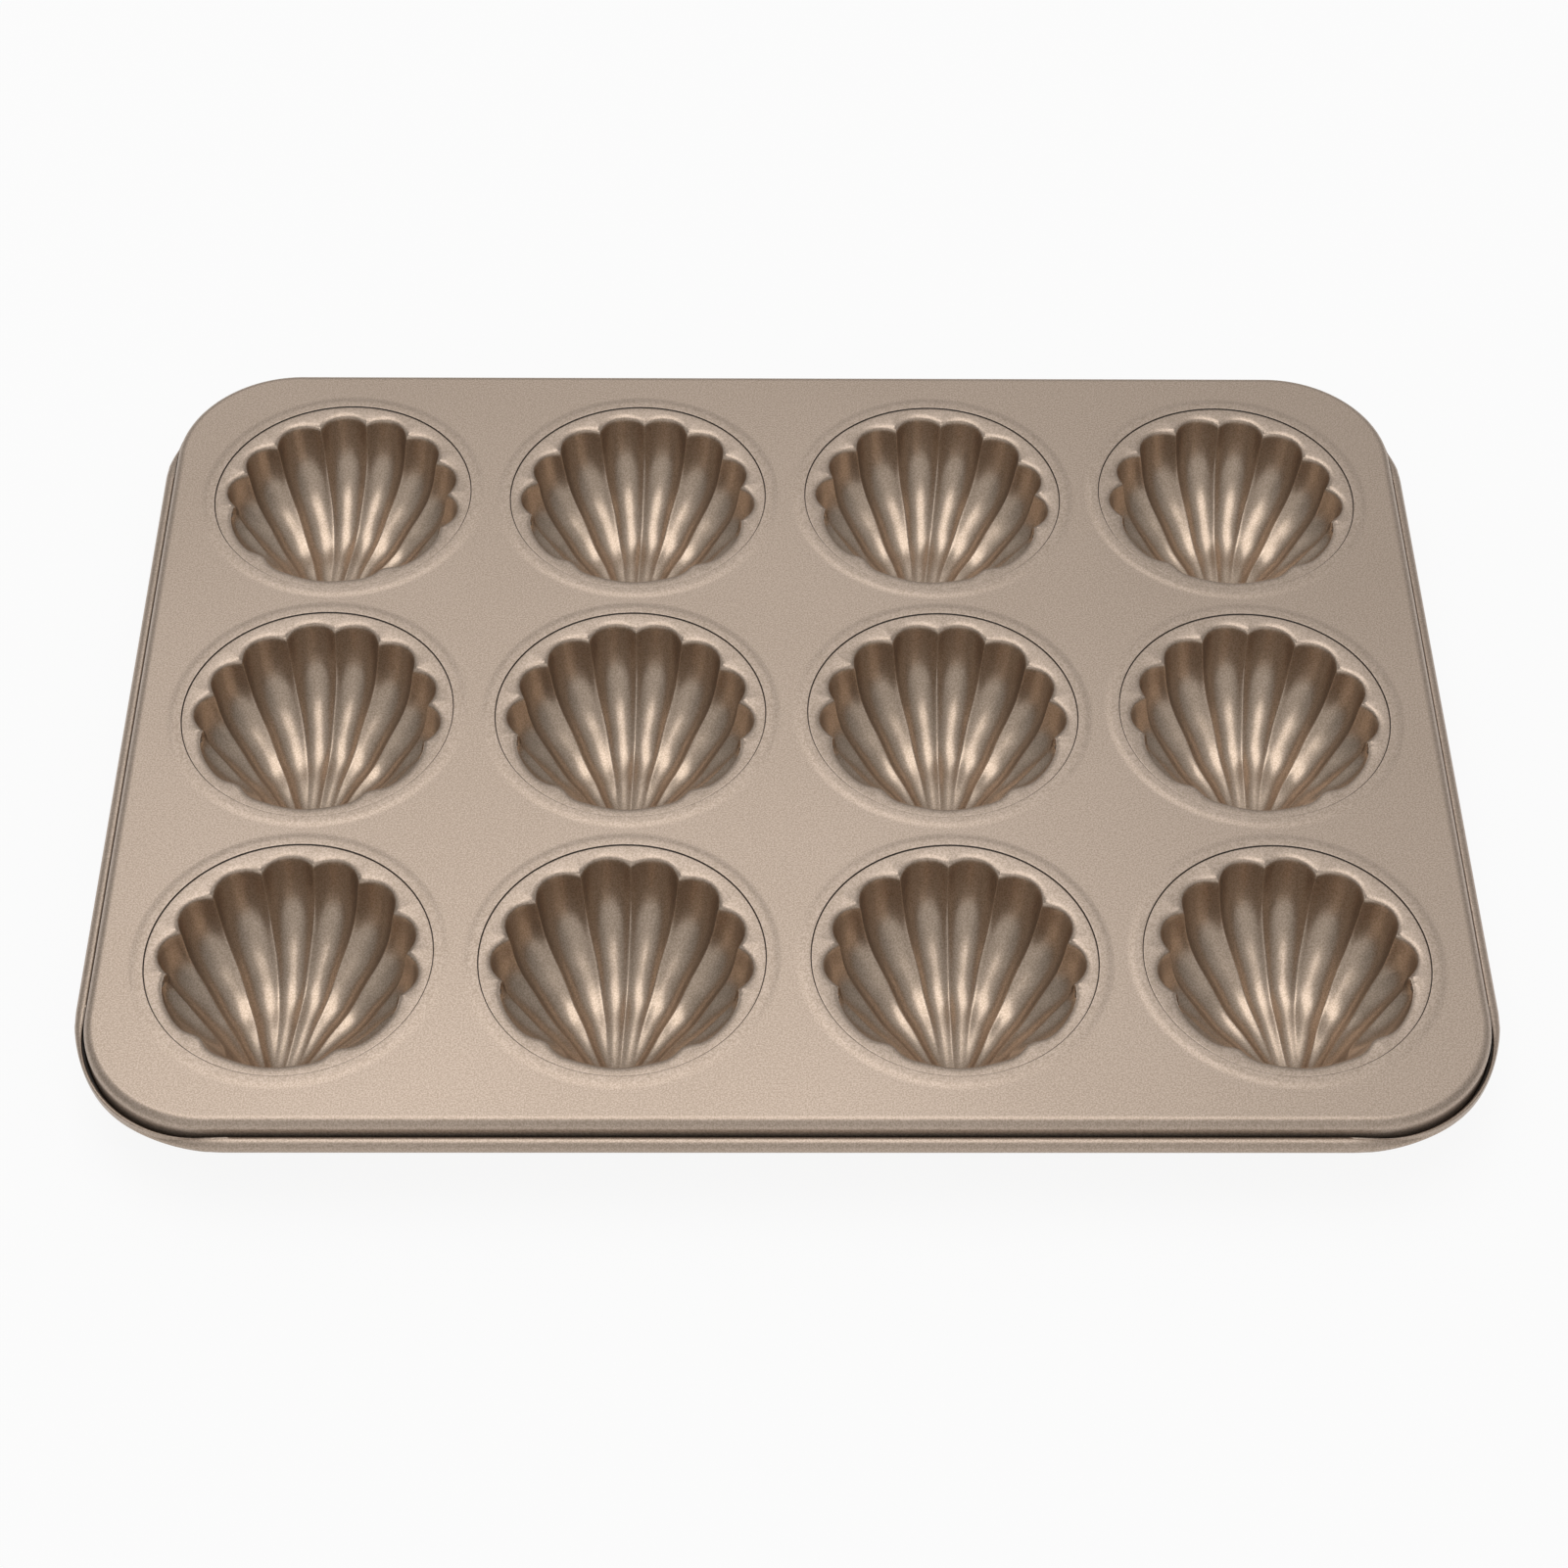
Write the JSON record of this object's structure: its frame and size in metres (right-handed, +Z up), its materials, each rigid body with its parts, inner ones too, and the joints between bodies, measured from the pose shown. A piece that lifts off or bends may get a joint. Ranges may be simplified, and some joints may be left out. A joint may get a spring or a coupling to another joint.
{
  "type": "madeleine pan",
  "caption": "Rectangular baking pan with rows of fluted shell-shaped cups seated in a flat plate, whose edge is rolled over all round.",
  "frame": {"origin": "under the middle of the pan, on the surface that the feet of the cups stand on", "axes": "+X along the long side, to the right as pictured; +Y along the short side, away from the viewer; +Z up out of the cups"},
  "size_m": [0.3494, 0.2664, 0.0266],
  "materials": {
    "plate_coating": "fine metallic champagne non-stick coating on carbon steel, satin",
    "cup_coating": "fine metallic champagne non-stick coating on carbon steel, satin"
  },
  "bodies": {
    "root": {"top_plate": "plate_coating", "shell_cup_front_1": "cup_coating", "shell_cup_front_2": "cup_coating", "shell_cup_front_3": "cup_coating", "shell_cup_front_4": "cup_coating", "shell_cup_middle_1": "cup_coating", "shell_cup_middle_2": "cup_coating", "shell_cup_middle_3": "cup_coating", "shell_cup_middle_4": "cup_coating", "shell_cup_back_1": "cup_coating", "shell_cup_back_2": "cup_coating", "shell_cup_back_3": "cup_coating", "shell_cup_back_4": "cup_coating"}
  },
  "joints": []
}
